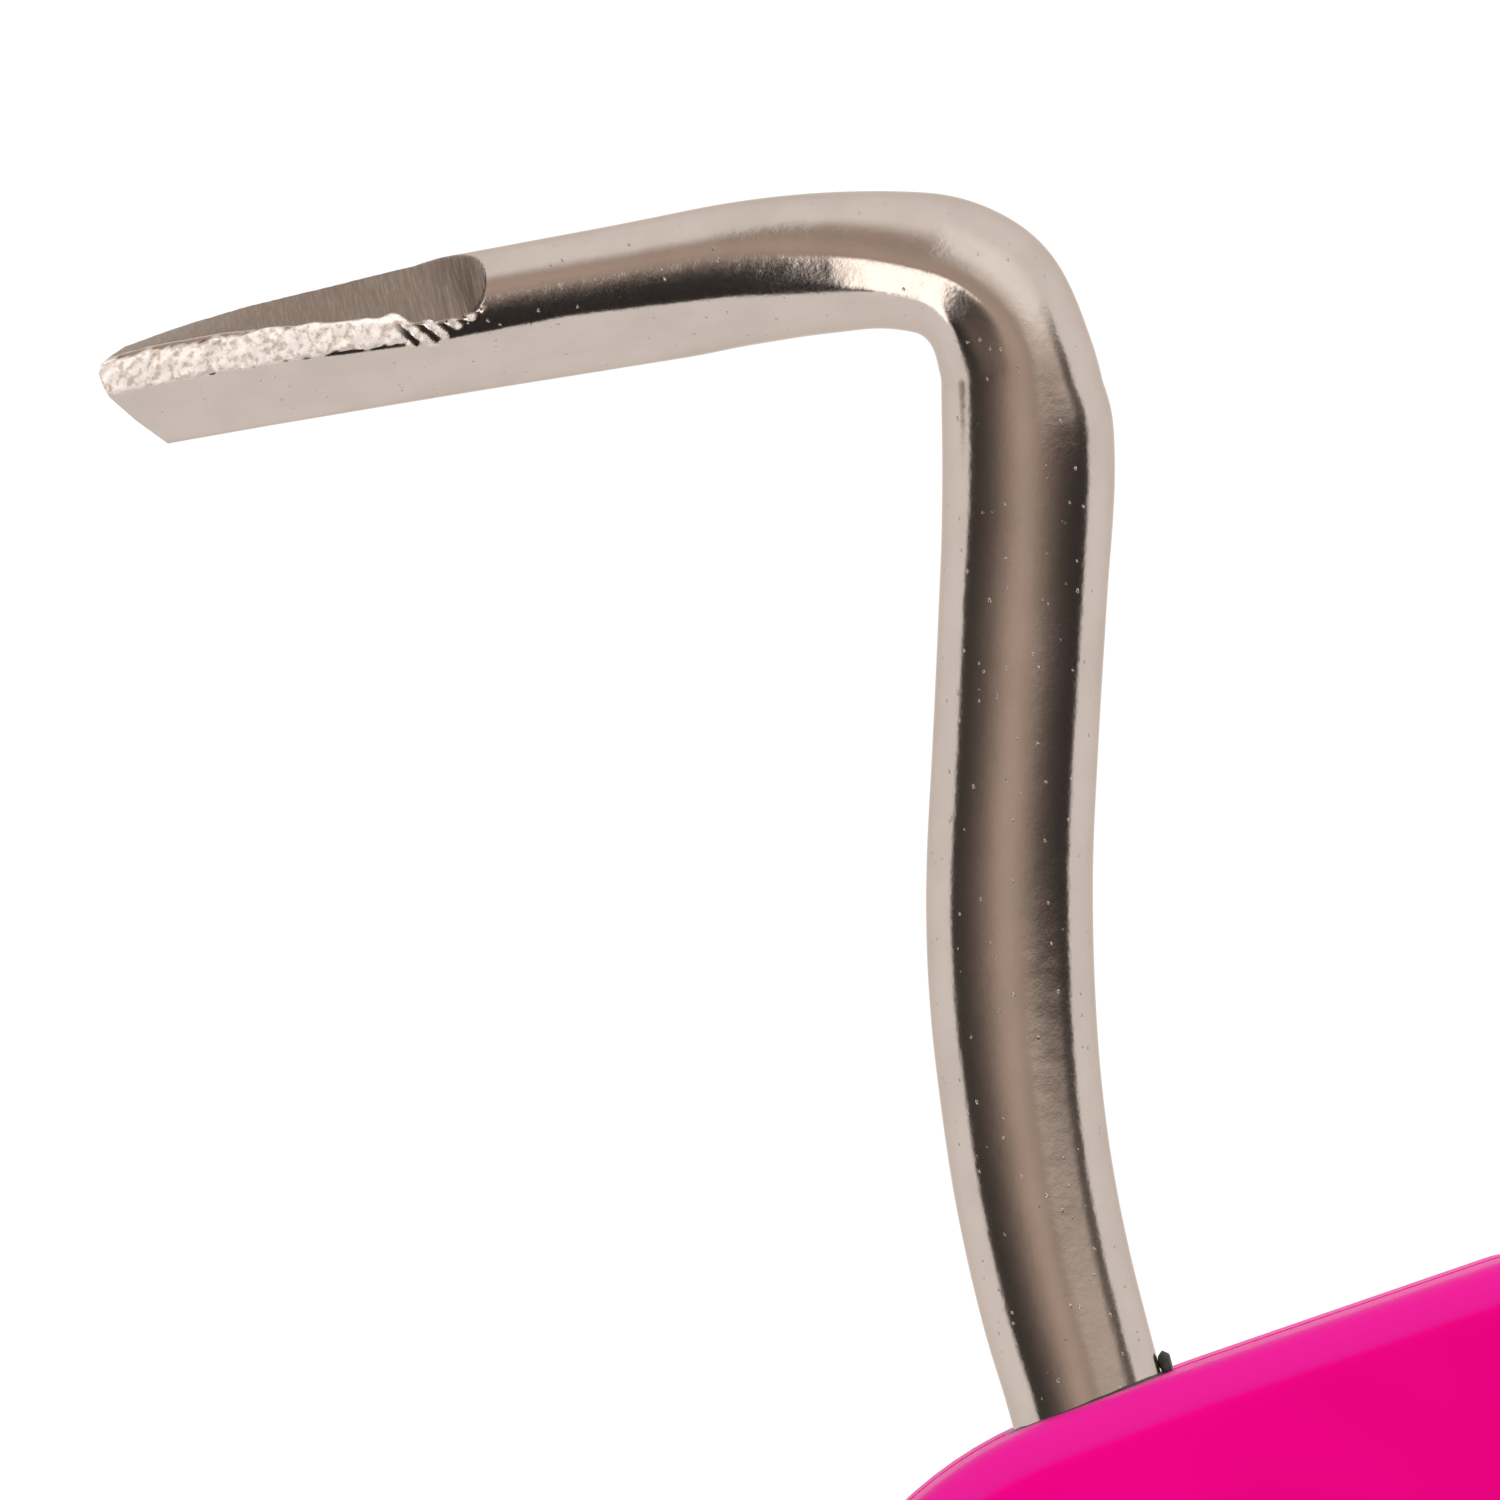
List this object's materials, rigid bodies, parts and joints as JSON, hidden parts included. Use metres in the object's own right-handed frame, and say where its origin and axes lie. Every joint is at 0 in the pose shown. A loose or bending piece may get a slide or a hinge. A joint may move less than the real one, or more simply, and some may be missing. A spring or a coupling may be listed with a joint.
{
  "type": "hoof pick",
  "caption": "Hand tool with a bent steel pick that ends in a ground chisel tip, a moulded plastic handle with a hang hole, and bristle tufts in the side of its head.",
  "frame": {"origin": "on the hang hole's axis, halfway between the handle's two flat faces", "axes": "+X along the handle from the butt to the pick, +Y to the side that the pick's tip points to, +Z out of a flat face, along the hang hole"},
  "size_m": [0.17, 0.0758, 0.021],
  "materials": {
    "handle_plastic": "smooth satin magenta moulding",
    "nickel_plate": "warm bright nickel plate over drawn steel, bare and scratched where the tip is ground",
    "adhesive": "dark dull adhesive",
    "staple_wire": "flat anchor wire",
    "bristle_nylon": "crimped black nylon filament"
  },
  "bodies": {
    "root": {"handle": "handle_plastic", "pick_rod": "nickel_plate", "socket_bead": "adhesive", "staples_a": "staple_wire", "staples_b": "staple_wire", "staples_c": "staple_wire", "tuft_a1": "bristle_nylon", "tuft_a2": "bristle_nylon", "tuft_a3": "bristle_nylon", "tuft_a4": "bristle_nylon", "tuft_a5": "bristle_nylon", "tuft_a6": "bristle_nylon", "tuft_a7": "bristle_nylon", "tuft_a8": "bristle_nylon", "tuft_b1": "bristle_nylon", "tuft_b2": "bristle_nylon", "tuft_b3": "bristle_nylon", "tuft_b4": "bristle_nylon", "tuft_b5": "bristle_nylon", "tuft_b6": "bristle_nylon", "tuft_b7": "bristle_nylon", "tuft_c1": "bristle_nylon", "tuft_c2": "bristle_nylon", "tuft_c3": "bristle_nylon", "tuft_c4": "bristle_nylon", "tuft_c5": "bristle_nylon", "tuft_c6": "bristle_nylon", "tuft_c7": "bristle_nylon", "tuft_c8": "bristle_nylon"}
  },
  "joints": []
}
